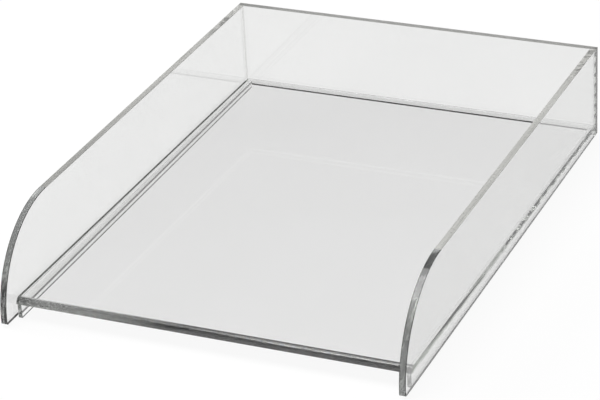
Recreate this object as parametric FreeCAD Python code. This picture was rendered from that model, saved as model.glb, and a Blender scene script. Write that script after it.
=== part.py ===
import FreeCAD, Part
import os

# A clear letter tray, cemented together from flat sheet with polished edges: two side walls whose
# fronts sweep down in a quarter circle, a back wall across their ends, a floor held up between them
# that falls a little towards the back and has a round nose in front, and two runners under the floor.
# The runners carry the tray on a desk. On top of another tray they drop between its walls, and the
# upper walls then stand on the lower ones.
# Millimetres, +Z up, the open front towards -Y. The origin is on the desk under the tray's middle.

# Overall size
tray_width = 247.0
tray_depth = 339.0

# Side and back walls
wall_height = 60.0
wall_sheet = 4.0
toe_height = 2.0            # straight run of a side wall's front edge, below the sweep
toe_radius = 1.0            # rounded corner under that straight run
arris_radius = 0.2          # easing of every polished edge

# Floor
floor_sheet = 4.0
floor_front_lift = 8.8      # from the desk to the floor's underside, at its front edge
floor_rear_lift = 4.7       # the same at the back wall
floor_setback = 12.0        # from the side walls' fronts back to the floor's front edge
nose_radius = 3.6           # rounded upper front edge

# Runners
runner_sheet = 2.5
runner_drop = 1.5           # how far the runners stand out below the walls
nest_gap = 0.4              # room between a runner and the walls that it drops between

# Planes that several sheets share
half_width = tray_width / 2
inner_half_width = half_width - wall_sheet
front_y = -tray_depth / 2
rear_y = tray_depth / 2
back_wall_y = rear_y - wall_sheet
floor_front_y = front_y + floor_setback
wall_foot_z = runner_drop
wall_top_z = wall_foot_z + wall_height
runner_outer_x = inner_half_width - nest_gap
runner_rear_y = back_wall_y - nest_gap

along_x = FreeCAD.Vector(1, 0, 0)


def line(start, end):
    """Straight edge between two points."""
    return Part.LineSegment(start, end).toShape()


def quarter_arc(start, corner, end):
    """Quarter circle that leaves start towards corner and arrives at end from corner."""
    centre = start + end - corner
    radius = (start - centre).Length
    middle = centre + (corner - centre).normalize() * radius
    return Part.Arc(start, middle, end).toShape()


def polygon(*corners):
    """Closed outline of straight edges from corner to corner."""
    return [line(start, end) for start, end in zip(corners, corners[1:] + corners[:1])]


def across(edges, width):
    """Solid: the closed outline pushed along X by the width."""
    return Part.Face(Part.Wire(edges)).extrude(along_x * width)


def rounded(solid, radius, is_chosen):
    """The solid with every edge rounded whose box is_chosen accepts."""
    return solid.makeFillet(radius, [edge for edge in solid.Edges if is_chosen(edge.BoundBox)])


def floor_underside(y):
    """Height of the floor's underside at a place along the tray's depth."""
    fall = (floor_front_lift - floor_rear_lift) / (back_wall_y - floor_front_y)
    return floor_front_lift - fall * (y - floor_front_y)


def side_wall(low_x):
    """Side wall: a strip with its front upper corner swept down to the toe, on X from low_x."""
    def at(y, z):
        return FreeCAD.Vector(low_x, y, z)

    sweep_radius = wall_height - toe_height
    sweep_foot = at(front_y, wall_top_z - sweep_radius)
    sweep_head = at(front_y + sweep_radius, wall_top_z)
    toe_head = at(front_y, wall_foot_z + toe_radius)
    toe_foot = at(front_y + toe_radius, wall_foot_z)
    rear_foot = at(back_wall_y, wall_foot_z)
    rear_head = at(back_wall_y, wall_top_z)
    outline = [
        line(toe_foot, rear_foot),
        line(rear_foot, rear_head),
        line(rear_head, sweep_head),
        quarter_arc(sweep_head, at(front_y, wall_top_z), sweep_foot),
        line(sweep_foot, toe_head),
        quarter_arc(toe_head, at(front_y, wall_foot_z), toe_foot),
    ]
    blank = across(outline, wall_sheet)
    return rounded(blank, arris_radius,
                   lambda box: box.XLength < arris_radius and box.YMin < back_wall_y - arris_radius)


def back_wall():
    """Back wall: a plain strip across the ends of both side walls, eased all round."""
    foot = FreeCAD.Vector(-half_width, back_wall_y, wall_foot_z)
    blank = Part.makeBox(tray_width, wall_sheet, wall_height, foot)
    return rounded(blank, arris_radius, lambda box: True)


def floor_panel():
    """Floor: a sheet between the walls that falls towards the back, its upper front edge a round nose."""
    def at(y, z):
        return FreeCAD.Vector(-inner_half_width, y, z)

    outline = polygon(
        at(floor_front_y, floor_front_lift),
        at(back_wall_y, floor_rear_lift),
        at(back_wall_y, floor_rear_lift + floor_sheet),
        at(floor_front_y, floor_front_lift + floor_sheet),
    )
    blank = across(outline, 2 * inner_half_width)
    nosed = rounded(blank, nose_radius,
                    lambda box: box.YMax < floor_front_y + arris_radius
                    and box.ZMin > floor_front_lift + arris_radius)
    return rounded(nosed, arris_radius,
                   lambda box: box.YMax < floor_front_y + arris_radius
                   and box.ZMax < floor_front_lift + arris_radius)


def runner(low_x):
    """Runner: a strip on edge, its upper edge cut to the floor's fall, its foot eased."""
    def at(y, z):
        return FreeCAD.Vector(low_x, y, z)

    outline = polygon(
        at(floor_front_y, 0),
        at(runner_rear_y, 0),
        at(runner_rear_y, floor_underside(runner_rear_y)),
        at(floor_front_y, floor_front_lift),
    )
    blank = across(outline, runner_sheet)
    return rounded(blank, arris_radius, lambda box: box.ZMax < arris_radius)


tray = {
    "left_wall": side_wall(-half_width),
    "right_wall": side_wall(inner_half_width),
    "back_wall": back_wall(),
    "floor_panel": floor_panel(),
    "left_runner": runner(-runner_outer_x),
    "right_runner": runner(runner_outer_x - runner_sheet),
}

os.makedirs("parts", exist_ok=True)
for name, solid in tray.items():
    solid.exportStep(f"parts/{name}.step")
    print(f"{name}: {solid.Volume:.0f} mm3, valid {solid.isValid()}, solids {len(solid.Solids)}")
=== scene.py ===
# %% [markdown]
# A clear letter tray, cut from flat acrylic sheet and welded with solvent.
# Clear plastic shows almost nothing of itself: what we see are its edges, its welds and what they bend.
# So this lesson spends its care on three things: edges that are truly rounded, welds that let light
# pass from one sheet into the next, and a studio that gives the edges something dark and light to show.

# %% Load the frame
import bpy
import numpy as np
from mathutils import Matrix, Vector


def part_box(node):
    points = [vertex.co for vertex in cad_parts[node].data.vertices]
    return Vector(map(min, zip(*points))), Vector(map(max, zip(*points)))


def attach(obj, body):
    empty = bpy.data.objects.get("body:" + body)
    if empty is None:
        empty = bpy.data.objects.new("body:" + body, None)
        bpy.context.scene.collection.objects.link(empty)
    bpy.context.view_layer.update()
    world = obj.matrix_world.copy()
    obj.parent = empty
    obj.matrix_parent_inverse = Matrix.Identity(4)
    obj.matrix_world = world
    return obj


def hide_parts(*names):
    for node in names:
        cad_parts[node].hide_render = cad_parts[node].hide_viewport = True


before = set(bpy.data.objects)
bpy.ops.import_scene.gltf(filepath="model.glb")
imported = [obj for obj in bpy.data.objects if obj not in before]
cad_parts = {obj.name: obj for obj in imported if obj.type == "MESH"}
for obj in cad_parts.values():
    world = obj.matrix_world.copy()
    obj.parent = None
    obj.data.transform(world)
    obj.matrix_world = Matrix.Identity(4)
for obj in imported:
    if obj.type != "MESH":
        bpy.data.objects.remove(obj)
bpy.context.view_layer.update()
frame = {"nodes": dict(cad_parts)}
print("sheets:", ", ".join(frame["nodes"]))

# %% [markdown]
# The camera stands where the photographer stood: to the right of the tray, well back, with a long lens.
# It could be aimed with a tracking constraint, but the picture is also turned a little about the lens,
# so the three axes of the camera are worked out here and put into its matrix directly.

# %% Camera
view_azimuth = np.radians(24.642)
view_elevation = np.radians(27.233)
view_roll = np.radians(-3.128)
view_distance = 1.617
view_target = np.array([-0.0228, 0.0275, 0.0])
lens_mm = 157.4
sensor_mm = 36.0
far_clip = 60.0

towards_camera = np.array([
    np.sin(view_azimuth) * np.cos(view_elevation),
    -np.cos(view_azimuth) * np.cos(view_elevation),
    np.sin(view_elevation),
])
level_right = np.array([np.cos(view_azimuth), np.sin(view_azimuth), 0.0])
level_up = np.cross(towards_camera, level_right)
right = np.cos(view_roll) * level_right + np.sin(view_roll) * level_up
up = np.cos(view_roll) * level_up - np.sin(view_roll) * level_right

camera_data = bpy.data.cameras.new("studio_camera")
camera_data.lens = lens_mm
camera_data.sensor_width = sensor_mm
camera_data.clip_end = far_clip
camera = bpy.data.objects.new("studio_camera", camera_data)
bpy.context.collection.objects.link(camera)
place = Matrix(np.stack([right, up, towards_camera], axis=1).tolist()).to_4x4()
place.translation = Vector(view_target + view_distance * towards_camera)
camera.matrix_world = place
bpy.context.scene.camera = camera
print("camera at", [round(value, 3) for value in place.translation])

# %% [markdown]
# Every sheet has an outline, drawn in its own plane, made of straight runs and bends.
# A run keeps its points together with the outward normals there, so that a bend can be shaded as a true
# curve while a corner between two straight runs stays sharp. Bevel and auto smooth could guess these
# normals, but in clear plastic a guess of a few degrees already bends the view, so they are worked out.

# %% Outlines of straight runs and bends
def straight(*corners):
    """Points on one line. The normal is the line's direction turned a quarter turn clockwise."""
    points = np.array(corners)
    along = points[-1] - points[0]
    normal = np.array([along[1], -along[0]]) / np.linalg.norm(along)
    return points, np.tile(normal, (len(points), 1))


def bend(centre, radius, start_degrees, end_degrees, steps):
    """Arc: centre + radius (cos a, sin a), with a going evenly from start to end. Normals are radial."""
    angles = np.radians(np.linspace(start_degrees, end_degrees, steps + 1))
    normals = np.stack([np.cos(angles), np.sin(angles)], axis=1)
    return np.array(centre) + radius * normals, normals


def join_runs(runs, closed):
    """Runs joined end to end: points, normals at both ends of each segment, and the pull of each point.

    The pull is (m + n) / (1 + m.n) for the normals m and n that meet at a point: moving the point
    against it by d moves both of its sides inwards by d.
    """
    last_point = [] if closed else [runs[-1][0][-1:]]
    points = np.concatenate([run_points[:-1] for run_points, _ in runs] + last_point)
    starts = np.concatenate([normals[:-1] for _, normals in runs])
    ends = np.concatenate([normals[1:] for _, normals in runs])
    before = np.roll(ends, 1, axis=0) if closed else np.concatenate([starts[:1], ends])
    after = starts if closed else np.concatenate([starts, ends[-1:]])
    pull = (before + after) / (1.0 + (before * after).sum(axis=1, keepdims=True))
    return points, starts, ends, pull


square_corner = [straight((0, 0), (1, 0)), straight((1, 0), (1, 1))]
print("a square corner is pulled by", join_runs(square_corner, False)[3][1])

# %% [markdown]
# The rim of a sheet is one profile carried along its outline: round over the near arris, straight across
# the cut edge, round over the far arris. A plate could be a cube with a Bevel modifier, but here each strip
# of the rim also has to know its finish, so the profile is written down row by row.

# %% Edge profile
ease = 0.0002            # rounding of the polished arrises
ease_steps = 4
arris_width = 0.0002     # of the edge beside a rounded arris, where the polishing wheel has run off


def edge_rows(low, high, ease_low, ease_high, between=()):
    """Rows across the thickness: depth, inset, and the normal's parts along the thickness and outwards.

    Over an eased arris of radius r, at angle a from the broad face, the depth is r (1 - cos a) and the
    inset r (1 - sin a), and the normal turns from the broad face to the cut edge.
    """
    turn = np.linspace(0.0, np.pi / 2, ease_steps + 1)
    into, over = 1.0 - np.cos(turn), 1.0 - np.sin(turn)
    square = np.array([[0.0, 0.0, 0.0, 1.0]])
    round_low = np.stack([into * ease_low, over * ease_low, -np.cos(turn), np.sin(turn)], axis=1)
    round_high = np.stack([-into * ease_high, over * ease_high, np.cos(turn), np.sin(turn)], axis=1)[::-1]
    first = round_low if ease_low else square
    last = round_high if ease_high else square
    middle = np.array([[depth, 0.0, 0.0, 1.0] for depth in between]).reshape(-1, 4)
    return np.concatenate([first + [low, 0, 0, 0], middle, last + [high, 0, 0, 0]])


def framed_rows(low, high):
    """Rows across a sheet with both arrises eased and a narrow margin beside each of them."""
    margin = ease + arris_width
    return edge_rows(low, high, ease, ease, between=(low + margin, high - margin))


print("arrises are eased to", ease * 1000, "mm in", ease_steps, "steps")

# %% [markdown]
# Carrying the profile along the outline gives a grid: one row of points per profile row, one column per
# outline point. A Curve with a bevel object could do it, but it would not keep the normals at both ends of
# each segment, and those keep the corners sharp and the bends smooth.

# %% Grid of a rim
def rim_points(outline, pull, rows, axis):
    """Outline point i, pulled in by row j's inset, at row j's depth along the axis."""
    depth, inset = rows[:, 0], rows[:, 1]
    flat = outline[None] - inset[:, None, None] * pull[None]
    depths = np.broadcast_to(depth[:, None, None], (len(rows), len(outline), 1))
    return np.roll(np.concatenate([depths, flat], axis=2), axis, axis=2)


def rim_normals(along, rows, axis):
    """Row j's lean along the axis, together with its outward part times the outline's normal i."""
    lean, out = rows[:, 2], rows[:, 3]
    sideways = np.broadcast_to(lean[:, None, None], (len(rows), len(along), 1))
    outwards = out[:, None, None] * along[None]
    return np.roll(np.concatenate([sideways, outwards], axis=2), axis, axis=2)


print("a framed rim has", len(framed_rows(0.0, 0.004)), "rows of points")

# %% [markdown]
# A sheet is collected in lists first: points, faces, a normal for every face corner and a finish for every
# face. Faces could be assigned their finish by hand in Edit Mode. Here each face says which one it has when
# it is made: broad face, cut edge or weld.

# %% A sheet in the making
FACE, FLOOR, WELD, SEAM, TOP, END, BUFFED, SWEEP, NOSE, SAWN_SHADED, ARRIS = range(11)


class Blank:
    """A sheet in the making: its points, its faces with a normal at every corner, and their finishes."""

    def __init__(self, runs, closed, rows, axis):
        """Makes the rim, its depth along the axis, from the outline's runs and the profile's rows."""
        self.axis = axis
        self.outline, starts, ends, pull = join_runs(runs, closed)
        grid = rim_points(self.outline, pull, rows, axis)
        self.points = list(grid.reshape(-1, 3))
        self.index = np.arange(len(self.points)).reshape(grid.shape[:2])
        here = np.arange(len(starts))
        there = (here + 1) % len(self.outline)
        quads = np.stack([self.index[:-1, here], self.index[:-1, there],
                          self.index[1:, there], self.index[1:, here]], axis=2)
        at_starts, at_ends = rim_normals(starts, rows, axis), rim_normals(ends, rows, axis)
        normals = np.stack([at_starts[:-1], at_ends[:-1], at_ends[1:], at_starts[1:]], axis=2)
        self.faces = quads.reshape(-1, 4).tolist()
        self.normals = list(normals.reshape(-1, 4, 3))
        self.rim_rows = len(quads)

    def finish_rim(self, cells):
        """Sets the finish of each rim cell from an array of rows by segments."""
        self.finishes = cells.flatten().tolist()

    def frame_rim(self, middle, arrises):
        """One finish per segment for the middle of the rim, one for the arrises and margins beside it."""
        cells = np.tile(arrises, (self.rim_rows, 1))
        cells[self.rim_rows // 2] = middle
        self.finish_rim(cells)

    def add_point(self, depth, first, second):
        """A point on a broad face, by its depth and its place in the outline's plane. Gives its number."""
        self.points.append(np.roll(np.array([depth, first, second]), self.axis))
        return len(self.points) - 1

    def add_face(self, corners, normal, finish):
        """A flat face with one normal, its corners counted anticlockwise seen from outside."""
        self.faces.append([int(corner) for corner in corners])
        self.normals.append(np.tile(normal, (len(corners), 1)))
        self.finishes.append(finish)

    def spot(self, first, second):
        """Number, within the outline, of the point nearest to a place in its plane."""
        return int(np.argmin(np.abs(self.outline - [first, second]).sum(axis=1)))

    def become_piece(self, name, materials):
        """Puts the lists into a mesh, stands the piece in for its CAD node and lets it ride on the body."""
        mesh = bpy.data.meshes.new(name)
        mesh.from_pydata(np.array(self.points).tolist(), [], self.faces)
        for material in materials:
            mesh.materials.append(material)
        mesh.polygons.foreach_set("material_index", self.finishes)
        mesh.polygons.foreach_set("use_smooth", [True] * len(self.faces))
        mesh.normals_split_custom_set(np.concatenate(self.normals).tolist())
        mesh.update()
        piece = bpy.data.objects.new(name + "_sheet", mesh)
        bpy.context.collection.objects.link(piece)
        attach(piece, "root")
        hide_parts(name)
        print(name, "has", len(self.points), "points and", len(self.faces), "faces")


print("a face can have one of", ARRIS + 1, "finishes")

# %% [markdown]
# All finishes are one clear plastic with different surfaces. The Glass shader would do for the plain faces,
# but the Principled shader also allows an edge that is partly clouded. A few helpers keep the recipes short:
# each adds one node and gives its output.

# %% Helpers for finishes
def clear_plastic(name, colour, roughness, index):
    """A see-through finish on the Principled shader. Gives the material, its node tree and its shader."""
    material = bpy.data.materials.new(name)
    material.use_nodes = True
    tree = material.node_tree
    shader = tree.nodes["Principled BSDF"]
    shader.inputs["Base Color"].default_value = (*colour, 1.0)
    shader.inputs["Roughness"].default_value = roughness
    shader.inputs["IOR"].default_value = index
    shader.inputs["Transmission Weight"].default_value = 1.0
    return material, tree, shader


def feed(tree, socket, value):
    """Links an input to another node's output, or sets it to a number or to a colour of three parts."""
    if isinstance(value, bpy.types.NodeSocket):
        tree.links.new(value, socket)
    elif isinstance(value, tuple):
        socket.default_value = (*value, 1.0)
    else:
        socket.default_value = value


def mixed(tree, share, first, second, mode="MIX"):
    """Colour that goes from the first to the second by a share, in a blend mode."""
    mix = tree.nodes.new("ShaderNodeMix")
    mix.data_type = "RGBA"
    mix.blend_type = mode
    feed(tree, mix.inputs["Factor"], share)
    feed(tree, mix.inputs["A"], first)
    feed(tree, mix.inputs["B"], second)
    return mix.outputs["Result"]


def calculated(tree, operation, *values):
    """One step of arithmetic on one or two values."""
    step = tree.nodes.new("ShaderNodeMath")
    step.operation = operation
    for socket, value in zip(step.inputs, values):
        feed(tree, socket, value)
    return step.outputs[0]


def spread(tree, value, low, high, to_low=0.0, to_high=1.0):
    """A value's span from low to high, carried over to the span from to_low to to_high."""
    span = tree.nodes.new("ShaderNodeMapRange")
    feed(tree, span.inputs["Value"], value)
    feed(tree, span.inputs["From Min"], low)
    feed(tree, span.inputs["From Max"], high)
    span.inputs["To Min"].default_value = to_low
    span.inputs["To Max"].default_value = to_high
    return span.outputs["Result"]


def own_axes(tree):
    """X, Y and Z of a point in its piece's own frame."""
    coordinates = tree.nodes.new("ShaderNodeTexCoord")
    axes = tree.nodes.new("ShaderNodeSeparateXYZ")
    tree.links.new(coordinates.outputs["Object"], axes.inputs["Vector"])
    return axes.outputs


acrylic_index = 1.49     # of refraction
print("light slows down", acrylic_index, "times in the sheet")

# %% [markdown]
# An effect that several finishes share is a node group with named inputs and outputs. It could be copied
# from material to material, but a group is built once, and each material gives it its own values.

# %% Helpers for node groups
def new_group(name, inputs, outputs):
    """An empty group, given the kind of each socket. Gives it with what goes in and what comes out."""
    group = bpy.data.node_groups.new(name, "ShaderNodeTree")
    for socket, kind in inputs.items():
        group.interface.new_socket(socket, in_out="INPUT", socket_type="NodeSocket" + kind)
    for socket, kind in outputs.items():
        group.interface.new_socket(socket, in_out="OUTPUT", socket_type="NodeSocket" + kind)
    given = group.nodes.new("NodeGroupInput").outputs
    made = group.nodes.new("NodeGroupOutput").inputs
    return group, given, made


def placed(tree, group, **values):
    """Places a group in a material, with this material's own values. Gives the group's outputs."""
    node = tree.nodes.new("ShaderNodeGroup")
    node.node_tree = group
    for name, value in values.items():
        node.inputs[name].default_value = value
    return node.outputs


def noise_of_place(group, scale, detail):
    """Plain noise of the object's own coordinates."""
    coordinates = group.nodes.new("ShaderNodeTexCoord")
    noise = group.nodes.new("ShaderNodeTexNoise")
    noise.inputs["Scale"].default_value = scale
    noise.inputs["Detail"].default_value = detail
    group.links.new(coordinates.outputs["Object"], noise.inputs["Vector"])
    return noise.outputs["Fac"]


print("groups so far:", len(bpy.data.node_groups))

# %% [markdown]
# The broad faces are as they came from the mould: clear, with a faint grey that is not quite even and a
# trace of haze from handling. One plain colour would do from afar, but it makes the sheets look computed.

# %% Broad faces
cloud_scale = 14.0
cloud_detail = 2.0
haze_scale = 60.0
haze_detail = 4.0
haze_start, haze_full = 0.55, 0.8     # of the noise
haze_roughness = 0.03


def clouded_sheet():
    """Node group: a tint from Grey to Clear by a slow noise, and a haze of roughness by a finer one."""
    inputs = {"Grey": "Color", "Clear": "Color"}
    group, given, made = new_group("clouded_sheet", inputs, {"Tint": "Color", "Haze": "Float"})
    cloud = noise_of_place(group, cloud_scale, cloud_detail)
    group.links.new(mixed(group, cloud, given["Grey"], given["Clear"]), made["Tint"])
    haze = noise_of_place(group, haze_scale, haze_detail)
    group.links.new(spread(group, haze, haze_start, haze_full, 0.0, haze_roughness), made["Haze"])
    return group


cloud_group = clouded_sheet()


def broad_face(name, grey, clear):
    """Broad face: the clouded sheet's tint and haze."""
    material, tree, shader = clear_plastic(name, clear, 0.0, acrylic_index)
    sheet = placed(tree, cloud_group, Grey=(*grey, 1.0), Clear=(*clear, 1.0))
    tree.links.new(sheet["Tint"], shader.inputs["Base Color"])
    tree.links.new(sheet["Haze"], shader.inputs["Roughness"])
    return material


wall_face = broad_face("wall_face", grey=(0.81, 0.812, 0.808), clear=(0.86, 0.862, 0.857))
floor_face = broad_face("floor_face", grey=(0.97, 0.97, 0.965), clear=(1.0, 1.0, 1.0))
print("broad faces:", wall_face.name, floor_face.name)

# %% [markdown]
# The cut edges were sawn and then polished, the long ones well and the others less so, and the cutter's
# slanting marks still show in them. A texture could be painted for these marks, but noise that is stretched
# along one slanting line has no seams and runs round every corner.

# %% Cut edges
mark_slant = Vector((1.0, 0.5, -0.8))
mark_stretch = 6.0
mark_scale = 1300.0
mark_detail = 3.0
mark_low, mark_high = 0.32, 0.68     # of the noise
relief_height = 0.0001


def slanting_marks():
    """Node group: noise of the object's own coordinates, stretched along the slant, from 0 to 1."""
    group, given, made = new_group("slanting_marks", {}, {"Marks": "Float"})
    coordinates = group.nodes.new("ShaderNodeTexCoord")
    stretch = group.nodes.new("ShaderNodeMapping")
    stretch.vector_type = "TEXTURE"
    stretch.inputs["Rotation"].default_value = mark_slant.to_track_quat("Y", "Z").to_euler()
    stretch.inputs["Scale"].default_value = (1.0, mark_stretch, 1.0)
    noise = group.nodes.new("ShaderNodeTexNoise")
    noise.inputs["Scale"].default_value = mark_scale
    noise.inputs["Detail"].default_value = mark_detail
    group.links.new(coordinates.outputs["Object"], stretch.inputs["Vector"])
    group.links.new(stretch.outputs["Vector"], noise.inputs["Vector"])
    group.links.new(spread(group, noise.outputs["Fac"], mark_low, mark_high), made["Marks"])
    return group


marks_group = slanting_marks()


def cut_edge(name, dull, clear, smooth, rough, relief, clarity=1.0):
    """Cut edge: the marks turn it from clear and smooth to dull and rough, and stand up a little."""
    material, tree, shader = clear_plastic(name, clear, smooth, acrylic_index)
    shader.inputs["Transmission Weight"].default_value = clarity
    marks = placed(tree, marks_group)["Marks"]
    tree.links.new(mixed(tree, marks, clear, dull), shader.inputs["Base Color"])
    tree.links.new(spread(tree, marks, 0.0, 1.0, smooth, rough), shader.inputs["Roughness"])
    bump = tree.nodes.new("ShaderNodeBump")
    bump.inputs["Strength"].default_value = relief
    bump.inputs["Distance"].default_value = relief_height
    tree.links.new(marks, bump.inputs["Height"])
    tree.links.new(bump.outputs["Normal"], shader.inputs["Normal"])
    return material


def worked_over(material):
    """A finish to be worked over: its node tree, its shader and the colour it has so far."""
    tree = material.node_tree
    shader = tree.nodes["Principled BSDF"]
    return tree, shader, shader.inputs["Base Color"].links[0].from_socket


scraped_end = cut_edge("scraped_end", dull=(0.22, 0.22, 0.21), clear=(0.32, 0.32, 0.31),
                       smooth=0.25, rough=0.35, relief=0.05, clarity=0.4)
buffed_end = cut_edge("buffed_end", dull=(0.86, 0.86, 0.85), clear=(0.96, 0.96, 0.95),
                      smooth=0.10, rough=0.20, relief=0.0, clarity=0.9)
# The walls' feet are sawn, and their near-black grey is painted shade for the dark line under the walls.
sawn_foot_painted_shade = cut_edge("sawn_foot_painted_shade", dull=(0.04, 0.04, 0.04), clear=(0.11, 0.11, 0.11),
                     smooth=0.02, rough=0.05, relief=0.05)
dull_arris = cut_edge("dull_arris", dull=(0.03, 0.03, 0.03), clear=(0.06, 0.06, 0.06),
                      smooth=0.20, rough=0.30, relief=0.10)
print("cut edges:", scraped_end.name, buffed_end.name, sawn_foot_painted_shade.name, dull_arris.name)

# %% [markdown]
# At a weld the solvent has melted two sheets into one, so no surface is left there to bend the light, only
# a tint where it dried unevenly along the joint. Beside the floor it dried darker, and on the right, towards
# the rear, in ragged dashes. A wave texture makes dashes too, but they come out as even as a printed line.

# %% Welds
weld_index = 1.0          # light goes straight on where the sheets have become one
middle_x = 0.01           # half the width over which the left side gives way to the right
dash_start_y, dash_full_y = -0.03, 0.02


def drawn_out_noise():
    """Node group: noise of the own coordinates, drawn out by Stretch, its Low to High spread over 0 to 1."""
    inputs = {"Stretch": "Vector", "Scale": "Float", "Distortion": "Float", "Low": "Float", "High": "Float"}
    group, given, made = new_group("drawn_out_noise", inputs, {"Noise": "Float"})
    coordinates = group.nodes.new("ShaderNodeTexCoord")
    drawn_out = group.nodes.new("ShaderNodeMapping")
    drawn_out.vector_type = "TEXTURE"
    noise = group.nodes.new("ShaderNodeTexNoise")
    group.links.new(coordinates.outputs["Object"], drawn_out.inputs["Vector"])
    group.links.new(given["Stretch"], drawn_out.inputs["Scale"])
    group.links.new(drawn_out.outputs["Vector"], noise.inputs["Vector"])
    group.links.new(given["Scale"], noise.inputs["Scale"])
    group.links.new(given["Distortion"], noise.inputs["Distortion"])
    group.links.new(spread(group, noise.outputs["Fac"], given["Low"], given["High"]), made["Noise"])
    return group


noise_group = drawn_out_noise()


def weld(name, grey, clear):
    """Weld: nothing but a tint that dried unevenly along the joint."""
    material, tree, shader = clear_plastic(name, clear, 0.0, weld_index)
    dried = placed(tree, noise_group, Stretch=(1.0, 5.0, 1.0), Scale=350.0,
                   Distortion=0.0, Low=0.38, High=0.62)
    tree.links.new(mixed(tree, dried["Noise"], grey, clear), shader.inputs["Base Color"])
    return material


def dashed_weld(name, grey, clear, dash, gap):
    """Weld along the floor: uneven on the left, and in dashes with clear gaps at the right rear."""
    material = weld(name, grey, clear)
    tree, shader, uneven = worked_over(material)
    axes = own_axes(tree)
    dashes = placed(tree, noise_group, Stretch=(1.0, 1.6, 1.0), Scale=250.0,
                    Distortion=0.0, Low=0.42, High=0.58)
    dashed = mixed(tree, dashes["Noise"], gap, dash)
    on_right = spread(tree, axes["X"], -middle_x, middle_x)
    rearwards = spread(tree, axes["Y"], dash_start_y, dash_full_y)
    where = calculated(tree, "MULTIPLY", on_right, rearwards)
    tree.links.new(mixed(tree, where, uneven, dashed), shader.inputs["Base Color"])
    return material


solvent_weld = weld("solvent_weld", grey=(0.94, 0.945, 0.935), clear=(1.0, 1.0, 1.0))
weld_seam = dashed_weld("solvent_weld_seam", grey=(0.22, 0.24, 0.21), clear=(0.50, 0.52, 0.49),
                        dash=(0.08, 0.09, 0.08), gap=(0.80, 0.81, 0.79))
print("welds:", solvent_weld.name, weld_seam.name)

# %% [markdown]
# The walls' top edges were drawn over with a scraper, which left long faint lines. Near the back wall,
# solvent cleared them in patches, whose darker grey is a painted reflection of the room, and the left one
# is darker towards the front, also a painted reflection. These could be painted, but as noise and fades
# they follow the piece.

# %% Scraped tops
line_greys = (0.80, 1.15)
# The patches' darker grey and the left top's front-to-rear greys are painted reflections of the room.
patch_start_y, patch_full_y = 0.112, 0.135
patch_reflection_grey = 0.45
front_y, rear_y = -0.11, 0.11         # between these the left top goes from its front to its rear grey
front_reflection_grey, rear_reflection_grey = 0.64, 0.88


def scraped_along(name, dull, clear):
    """Top edge: a cut edge times the greys of the lines, of the patches and, on the left, of the front;
    patches and front are painted reflections.
    """
    material = cut_edge(name, dull, clear, smooth=0.25, rough=0.35, relief=0.05, clarity=0.5)
    tree, shader, cut = worked_over(material)
    axes = own_axes(tree)
    lines = placed(tree, noise_group, Stretch=(1.0, 60.0, 1.0), Scale=900.0,
                   Distortion=0.0, Low=0.3, High=0.7)
    scraped = mixed(tree, 1.0, cut, spread(tree, lines["Noise"], 0.0, 1.0, *line_greys), "MULTIPLY")
    patches = placed(tree, noise_group, Stretch=(1.5, 1.0, 1.0), Scale=170.0,
                     Distortion=0.5, Low=0.48, High=0.56)
    rearwards = spread(tree, axes["Y"], patch_start_y, patch_full_y)
    cleared_patch_reflection = calculated(tree, "MULTIPLY", patches["Noise"], rearwards)
    patched = mixed(tree, 1.0, scraped, spread(tree, cleared_patch_reflection, 0.0, 1.0, 1.0, patch_reflection_grey), "MULTIPLY")
    on_left = spread(tree, axes["X"], middle_x, -middle_x)
    # painted reflection: the left top is darker towards the front
    left_top_painted_reflection = spread(tree, axes["Y"], front_y, rear_y, front_reflection_grey, rear_reflection_grey)
    tree.links.new(mixed(tree, on_left, patched, left_top_painted_reflection, "MULTIPLY"), shader.inputs["Base Color"])
    return material


scraped_top = scraped_along("scraped_top", dull=(0.64, 0.64, 0.61), clear=(0.74, 0.74, 0.71))
print("tops:", scraped_top.name)

# %% [markdown]
# The swept fronts were run over with a flame, which left dark wavy flecks towards the toe, more of them on
# the left. Some stretches along the bend are greyer than others: partly uneven polish, partly painted
# reflections. A painted strip would have to be unwrapped round the bend.
# Here the place along the bend comes from Y + Z, less the distance from the middle, so that the stretches
# begin and end aslant. The greys are pairs of degrees from the sweep's head and the grey there. They were
# set to match one picture, so part of them stands for reflections of a room that is not built here.

# %% Swept fronts
toe_height = 0.002
wall_low, wall_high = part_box("left_wall")
sweep_radius = wall_high[2] - wall_low[2] - toe_height
wall_middle = abs(wall_low[0] + wall_high[0]) / 2
sweep_toe = wall_low[1] + wall_high[2] - sweep_radius - wall_middle
sweep_head = wall_low[1] + wall_high[2] + sweep_radius - wall_middle
# Greys along each sweep: partly uneven polish, partly painted reflections of the room.
left_sweep_polish_and_reflection_greys = [(90, 0.75), (60, 0.75), (50, 0.80), (30, 0.86), (10, 0.86), (0, 0.86)]
right_sweep_polish_and_reflection_greys = [(90, 0.85), (75, 0.80), (52, 0.80), (48, 1.0), (38, 1.0), (36, 0.58), (23.5, 0.54),
                     (22, 0.05), (18.5, 0.05), (17, 0.20), (6, 0.20), (4, 0.45), (2, 0.9), (0, 1.0)]
fleck_start_z, fleck_full_z = 0.036, 0.022
fleck_right_x, fleck_left_x = 0.12, -0.12
fleck_share_right = 0.35


def polish_and_reflection_along_sweep(tree, turn, greys):
    """Ramp of greys along a swept front, partly uneven polish and partly painted reflections, from pairs of
    degrees and grey, in order from toe to head.

    At a degrees from the head of a quarter circle, Y + Z is at (1 + cos a - sin a) / 2 of the way up.
    """
    ramp = tree.nodes.new("ShaderNodeValToRGB")
    steps = ramp.color_ramp.elements
    while len(steps) < len(greys):
        steps.new(1.0)
    for step, (degrees, grey) in zip(steps, greys):
        angle = np.radians(degrees)
        step.position = (1.0 + np.cos(angle) - np.sin(angle)) / 2
        step.color = (grey, grey, grey, 1.0)
    tree.links.new(turn, ramp.inputs["Fac"])
    return ramp.outputs["Color"]


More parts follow.
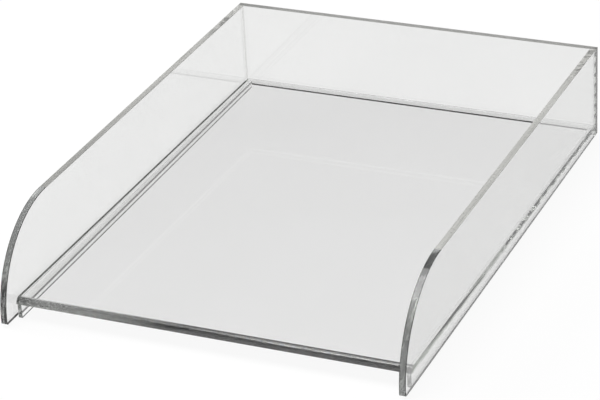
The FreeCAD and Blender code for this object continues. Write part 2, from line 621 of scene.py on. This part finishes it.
def flame_polished_with_reflections(name, dull, clear, scorched):
    """Swept front: a cut edge times the greys along its side's sweep, partly painted reflections, with
    scorched flecks over it.
    """
    material = cut_edge(name, dull, clear, smooth=0.08, rough=0.14, relief=0.02, clarity=0.75)
    tree, shader, polished = worked_over(material)
    axes = own_axes(tree)
    forwards = calculated(tree, "ADD", axes["Y"], axes["Z"])
    aslant = calculated(tree, "SUBTRACT", forwards, calculated(tree, "ABSOLUTE", axes["X"]))
    turn = spread(tree, aslant, sweep_toe, sweep_head)
    left = polish_and_reflection_along_sweep(tree, turn, left_sweep_polish_and_reflection_greys)
    right = polish_and_reflection_along_sweep(tree, turn, right_sweep_polish_and_reflection_greys)
    on_right = spread(tree, axes["X"], -middle_x, middle_x)
    # the greys of polish and painted reflection darken the cut edge along the sweep
    polish_and_reflection_greyed = mixed(tree, 1.0, polished, mixed(tree, on_right, left, right), "MULTIPLY")
    flecks = placed(tree, noise_group, Stretch=(1.0, 1.0, 4.0), Scale=300.0,
                    Distortion=1.5, Low=0.47, High=0.60)
    downwards = spread(tree, axes["Z"], fleck_start_z, fleck_full_z)
    leftwards = spread(tree, axes["X"], fleck_right_x, fleck_left_x, fleck_share_right, 1.0)
    flamed = calculated(tree, "MULTIPLY", downwards, leftwards)
    share = calculated(tree, "MULTIPLY", flecks["Noise"], flamed)
    tree.links.new(mixed(tree, share, polish_and_reflection_greyed, scorched), shader.inputs["Base Color"])
    return material


polished_sweep_with_reflections = flame_polished_with_reflections("polished_sweep_with_reflections", dull=(0.88, 0.90, 0.89), clear=(0.96, 0.98, 0.97),
                                scorched=(0.05, 0.052, 0.05))
print("sweeps run from", round(sweep_toe, 4), "to", round(sweep_head, 4))

# %% [markdown]
# The floor's nose is dark where it is polished and worn to a paler grey towards its left end, where the
# cutter's marks also stand up more. Two materials could meet there, but a fade has no line between them.

# %% Worn nose
wear_start_x, wear_full_x = -0.01, -0.10
relief_start_x, relief_full_x = -0.06, -0.11
relief_share_right = 0.15


def worn_nose(name, dull, clear, worn_dull, worn_clear):
    """Rounded nose: a cut edge that goes over to a worn one, its marks higher towards the left end."""
    material = cut_edge(name, dull, clear, smooth=0.12, rough=0.18, relief=0.35, clarity=0.7)
    tree, shader, polished = worked_over(material)
    along = own_axes(tree)["X"]
    marks = placed(tree, marks_group)["Marks"]
    worn = mixed(tree, marks, worn_clear, worn_dull)
    leftwards = spread(tree, along, wear_start_x, wear_full_x)
    tree.links.new(mixed(tree, leftwards, polished, worn), shader.inputs["Base Color"])
    height = spread(tree, along, relief_start_x, relief_full_x, relief_share_right, 1.0)
    tree.links.new(calculated(tree, "MULTIPLY", marks, height), tree.nodes["Bump"].inputs["Height"])
    return material


rounded_nose = worn_nose("rounded_nose", dull=(0.03, 0.03, 0.03), clear=(0.09, 0.09, 0.09),
                         worn_dull=(0.55, 0.56, 0.55), worn_clear=(0.90, 0.91, 0.90))
finishes = [wall_face, floor_face, solvent_weld, weld_seam, scraped_top, scraped_end, buffed_end,
            polished_sweep_with_reflections, rounded_nose, sawn_foot_painted_shade, dull_arris]
print(len(finishes), "finishes, from", finishes[FACE].name, "to", finishes[ARRIS].name)

# %% [markdown]
# The floor is a sheet between the side walls that falls a few millimetres towards the back, and its front
# edge is rounded over to a nose. Its outline, seen from the side, is drawn first, because the side walls
# carry the same outline as the mark of their weld.

# %% Outline of the floor
weld_gap = 0.00002       # kept between the two faces of a weld, so that a ray meets one and then the other
floor_thickness = 0.004
nose_radius = 0.0036
nose_steps = 16
floor_low, floor_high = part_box("floor_panel")
runner_low, runner_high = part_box("right_runner")
floor_front, floor_rear = floor_low[1], floor_high[1] - weld_gap
fall = (runner_high[2] - floor_low[2]) / (floor_high[1] - floor_front)
fall_degrees = np.degrees(np.arctan(fall))


def underside(y):
    """Height of the floor's underside: it falls evenly from the runners' front to the back wall."""
    return floor_low[2] + fall * (floor_high[1] - y)


def floor_runs():
    """Outline of the floor in Y and Z, from the upper rear edge over the nose to the lower rear edge.

    A round corner of radius r between the upright front and a sloping face keeps its centre r behind the
    front and r sqrt(1 + fall^2) off that face, and takes up the angle that the slope leaves.
    """
    slant = np.sqrt(1.0 + fall ** 2)
    nose_y = floor_front + nose_radius
    nose_z = underside(nose_y) + floor_thickness - nose_radius * slant
    lip_y = floor_front + ease
    lip_z = underside(lip_y) + ease * slant
    nose = bend((nose_y, nose_z), nose_radius, 90.0 - fall_degrees, 180.0, nose_steps)
    lip = bend((lip_y, lip_z), ease, 180.0, 270.0 - fall_degrees, ease_steps)
    runner_end = (runner_high[1], underside(runner_high[1]))
    return [
        straight((floor_rear, underside(floor_rear) + floor_thickness), nose[0][0]),
        nose,
        straight(nose[0][-1], lip[0][0]),
        lip,
        straight(lip[0][-1], runner_end, (floor_rear, underside(floor_rear))),
    ]


floor_outline = join_runs(floor_runs(), False)[0]
print("the floor falls", round(fall_degrees, 2), "degrees")

# %% [markdown]
# The side walls are strips whose front upper corner sweeps down in a quarter circle to a short toe. A cube
# with a bevelled corner would have the shape, but not the mark of the floor's weld on its inner face: there
# the face is cut open along the floor's outline, and the piece inside it is a weld.

# %% Side walls
toe_radius = 0.001
sweep_steps = 96
toe_steps = 8


def side_wall(name, inner_side):
    """Outline in Y and Z from the rear head round the front to the rear foot, carried across in X."""
    low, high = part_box(name)
    high[1] -= weld_gap
    sweep = sweep_radius
    runs = [
        straight((high[1], high[2]), (low[1] + sweep, high[2])),
        bend((low[1] + sweep, high[2] - sweep), sweep, 90.0, 180.0, sweep_steps),
        straight((low[1], high[2] - sweep), (low[1], low[2] + toe_radius)),
        bend((low[1] + toe_radius, low[2] + toe_radius), toe_radius, 180.0, 270.0, toe_steps),
        straight((low[1] + toe_radius, low[2]), (high[1], low[2])),
    ]
    blank = Blank(runs, False, framed_rows(low[0], high[0]), axis=0)
    front_steps = sweep_steps + 1 + toe_steps
    # the foot gets the sawn finish, painted near black as shade
    blank.frame_rim([TOP] + [SWEEP] * front_steps + [SAWN_SHADED], [TOP] + [ARRIS] * front_steps + [SAWN_SHADED])
    inner_x = high[0] if inner_side > 0 else low[0]
    mark = [blank.add_point(inner_x, y, z) for y, z in floor_outline]
    near, far = blank.index[0], blank.index[-1]
    inner, outer = (far, near) if inner_side > 0 else (near, far)
    around_mark = [*inner, *mark[::-1]]
    blank.add_face(around_mark[::inner_side], (inner_side, 0, 0), FACE)
    blank.add_face(mark[::inner_side], (inner_side, 0, 0), WELD)
    blank.add_face(outer[::-inner_side], (-inner_side, 0, 0), FACE)
    head, foot = blank.index[:, 0], blank.index[:, -1]
    on_far = [mark[0], mark[-1]] if inner_side > 0 else []
    on_near = [mark[-1], mark[0]] if inner_side < 0 else []
    blank.add_face([foot[0], *on_near, *head, *on_far, *foot[:0:-1]], (0, 1, 0), WELD)
    blank.become_piece(name, finishes)


side_wall("left_wall", 1)
side_wall("right_wall", -1)

# %% [markdown]
# The back wall stands across the ends of both side walls and the floor, and is welded to all three. Its
# inner face is therefore five faces: a weld at each end and along the floor, clear above and below that.

# %% Back wall
corner_radius = 1.5 * ease
corner_steps = 4


def back_wall(name):
    """Outline in Z and X, a rectangle with small round corners, carried across the sheet in Y."""
    low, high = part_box(name)
    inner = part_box("right_wall")[0][0]
    r = corner_radius
    runs = [
        straight((low[2] + r, low[0]), (high[2] - r, low[0])),
        bend((high[2] - r, low[0] + r), r, 270.0, 360.0, corner_steps),
        straight((high[2], low[0] + r), (high[2], -inner), (high[2], inner), (high[2], high[0] - r)),
        bend((high[2] - r, high[0] - r), r, 0.0, 90.0, corner_steps),
        straight((high[2] - r, high[0]), (low[2] + r, high[0])),
        bend((low[2] + r, high[0] - r), r, 90.0, 180.0, corner_steps),
        straight((low[2], high[0] - r), (low[2], inner), (low[2], -inner), (low[2], low[0] + r)),
        bend((low[2] + r, low[0] + r), r, 180.0, 270.0, corner_steps),
    ]
    blank = Blank(runs, True, framed_rows(low[1], high[1]), axis=1)
    left, right = [BUFFED] * corner_steps, [END] * corner_steps
    around = [BUFFED] + left + [END] * 3 + right + [END] + right + [FACE] * 3 + left
    blank.frame_rim(around, around)
    near, far = blank.index[0], blank.index[-1]
    top_left, top_right = blank.spot(high[2], -inner), blank.spot(high[2], inner)
    foot_left, foot_right = blank.spot(low[2], -inner), blank.spot(low[2], inner)
    floor_foot, floor_top = floor_low[2], floor_low[2] + floor_thickness
    floor_top_left = blank.add_point(low[1], floor_top, -inner)
    floor_top_right = blank.add_point(low[1], floor_top, inner)
    floor_foot_left = blank.add_point(low[1], floor_foot, -inner)
    floor_foot_right = blank.add_point(low[1], floor_foot, inner)
    inner_faces = [
        ([*near[foot_left:], *near[:top_left + 1], floor_top_left, floor_foot_left], WELD),
        ([*near[top_right:foot_right + 1], floor_foot_right, floor_top_right], WELD),
        ([floor_top_left, near[top_left], near[top_right], floor_top_right], FACE),
        ([floor_foot_left, floor_top_left, floor_top_right, floor_foot_right], WELD),
        ([near[foot_left], floor_foot_left, floor_foot_right, near[foot_right]], FACE),
    ]
    for corners, finish in inner_faces:
        blank.add_face(corners[::-1], (0, -1, 0), finish)
    blank.add_face(far, (0, 1, 0), FACE)
    blank.become_piece(name, finishes)


back_wall("back_wall")

# %% [markdown]
# The floor itself is its outline carried from wall to wall. Both sides and the rear are welds, and
# underneath there are two long strips where the runners are welded on.

# %% Floor
def floor_panel(name):
    """The floor's outline, closed at the rear, carried across the tray in X."""
    left, right = floor_low[0] + weld_gap, floor_high[0] - weld_gap
    runs = floor_runs() + [straight(floor_outline[-1], floor_outline[0])]
    runner_lines = [-runner_high[0], -runner_low[0], runner_low[0], runner_high[0]]
    blank = Blank(runs, True, edge_rows(left, right, 0.0, 0.0, between=runner_lines), axis=0)
    rounded = [NOSE] * (nose_steps + 1 + ease_steps)
    cells = np.tile([FLOOR] + rounded + [FLOOR, FLOOR, WELD], (blank.rim_rows, 1))
    runner_strips, underside_run = [1, 3], -3
    cells[runner_strips, underside_run] = WELD
    blank.finish_rim(cells)
    blank.add_face(blank.index[0][::-1], (-1, 0, 0), SEAM)
    blank.add_face(blank.index[-1], (1, 0, 0), SEAM)
    blank.become_piece(name, finishes)


floor_panel("floor_panel")

# %% [markdown]
# The runners are narrow strips on edge, welded under the floor by their upper edge, which is cut to its
# fall. Mirroring one would do, but each takes its place from its own node in the frame.

# %% Runners
runner_front = floor_front + ease


def runner(name):
    """Outline in Y and Z, open at the weld on top, carried across the strip in X."""
    low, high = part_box(name)
    front_head = underside(runner_front) - weld_gap
    rear_head = underside(high[1]) - weld_gap
    r = corner_radius
    runs = [
        straight((runner_front, front_head), (runner_front, low[2] + r)),
        bend((runner_front + r, low[2] + r), r, 180.0, 270.0, corner_steps),
        straight((runner_front + r, low[2]), (high[1] - r, low[2])),
        bend((high[1] - r, low[2] + r), r, 270.0, 360.0, corner_steps),
        straight((high[1], low[2] + r), (high[1], rear_head)),
    ]
    blank = Blank(runs, False, framed_rows(low[0], high[0]), axis=0)
    around = [SWEEP] + [FLOOR] * (2 * corner_steps + 2)
    blank.frame_rim(around, around)
    blank.add_face(blank.index[0][::-1], (-1, 0, 0), FLOOR)
    blank.add_face(blank.index[-1], (1, 0, 0), FLOOR)
    front, rear = blank.index[:, 0], blank.index[:, -1]
    blank.add_face([rear[0], *front, *rear[:0:-1]], (0, fall, 1), WELD)
    blank.become_piece(name, finishes)


runner("left_runner")
runner("right_runner")

# %% [markdown]
# The tray stands on a white table that runs out of the picture. Lit paint alone would never come out evenly
# white, so for rays that look at the table, straight, mirrored or through the plastic, it is nearly all glow.
# For the rays that only carry light from it, it is plain paint.

# %% Table
table_half = 8.0
table_gap = 0.0001       # air under the runners, so that their feet and the table are two faces
table_paint = (0.9, 0.9, 0.9)
table_glow = 0.93


def seen_rays(tree):
    """1 for a ray from the camera, a mirrored or a refracted one, and 0 for the others."""
    path = tree.nodes.new("ShaderNodeLightPath").outputs
    straight_or_mirrored = calculated(tree, "MAXIMUM", path["Is Camera Ray"], path["Is Glossy Ray"])
    return calculated(tree, "MAXIMUM", straight_or_mirrored, path["Is Transmission Ray"])


table_mesh = bpy.data.meshes.new("studio_table")
table_corners = table_half * np.array([(-1, -1, 0), (1, -1, 0), (1, 1, 0), (-1, 1, 0)])
table_corners[:, 2] = -table_gap
table_mesh.from_pydata(table_corners.tolist(), [], [(0, 1, 2, 3)])
table = bpy.data.objects.new("studio_table", table_mesh)
bpy.context.collection.objects.link(table)

table_material = bpy.data.materials.new("white_table")
table_material.use_nodes = True
tree = table_material.node_tree
tree.nodes.clear()
paint = tree.nodes.new("ShaderNodeBsdfDiffuse")
feed(tree, paint.inputs["Color"], table_paint)
glow = tree.nodes.new("ShaderNodeEmission")
feed(tree, glow.inputs["Color"], (1.0, 1.0, 1.0))
mix = tree.nodes.new("ShaderNodeMixShader")
output = tree.nodes.new("ShaderNodeOutputMaterial")
tree.links.new(calculated(tree, "MULTIPLY", seen_rays(tree), table_glow), mix.inputs["Fac"])
tree.links.new(paint.outputs[0], mix.inputs[1])
tree.links.new(glow.outputs[0], mix.inputs[2])
tree.links.new(mix.outputs[0], output.inputs["Surface"])
table_mesh.materials.append(table_material)
print("table of", 2 * table_half, "m")

# %% [markdown]
# Two big soft lamps light the table, one overhead and one at the left. Small lamps would draw hard bright
# lines in every edge.

# %% Lamps
def soft_lamp(name, place, size, watts):
    """Square soft lamp at a place, turned towards the origin."""
    data = bpy.data.lights.new(name, "AREA")
    data.shape = "RECTANGLE"
    data.size = size
    data.size_y = size
    data.energy = watts
    lamp = bpy.data.objects.new(name, data)
    bpy.context.collection.objects.link(lamp)
    lamp.location = place
    lamp.rotation_euler = (-Vector(place)).to_track_quat("-Z", "Y").to_euler()
    print(name, "of", watts, "W")


soft_lamp("overhead_lamp", place=(-0.2, 0.0, 2.2), size=1.6, watts=50.0)
soft_lamp("side_lamp", place=(-2.1, 0.3, 1.5), size=1.2, watts=45.0)

# %% [markdown]
# The room is dark overhead, which gives the edges something dark to show, and has a pale backdrop near the
# horizon, so that the tray stands before white in low views too. A backdrop could be a bent sheet, but as
# part of the world it goes all the way round.

# %% World
room_grey = (0.03, 0.03, 0.03)
backdrop_grey = (0.93, 0.93, 0.93)
backdrop_top = np.sin(np.radians(24.0))      # heights of a direction, as the sine of its angle
backdrop_full = np.sin(np.radians(18.0))

world = bpy.data.worlds.new("studio_dark")
bpy.context.scene.world = world
world.use_nodes = True
tree = world.node_tree
direction = tree.nodes.new("ShaderNodeTexCoord")
height = tree.nodes.new("ShaderNodeSeparateXYZ")
tree.links.new(direction.outputs["Generated"], height.inputs["Vector"])
backdrop = spread(tree, height.outputs["Z"], backdrop_top, backdrop_full)
shown = calculated(tree, "MULTIPLY", backdrop, seen_rays(tree))
tree.links.new(mixed(tree, shown, room_grey, backdrop_grey), tree.nodes["Background"].inputs["Color"])
print("the backdrop ends at a height of", round(backdrop_top, 3))

# %% [markdown]
# Light crosses many faces on its way through six clear sheets, so it needs many bounces. Caustics would only
# add noise on a table that is white already.

# %% Render settings
bounces = 100
scene = bpy.context.scene
scene.view_settings.view_transform = "Standard"
scene.cycles.max_bounces = bounces
scene.cycles.transmission_bounces = bounces
scene.cycles.glossy_bounces = bounces
scene.cycles.caustics_refractive = False
scene.cycles.caustics_reflective = False
print("up to", bounces, "bounces")
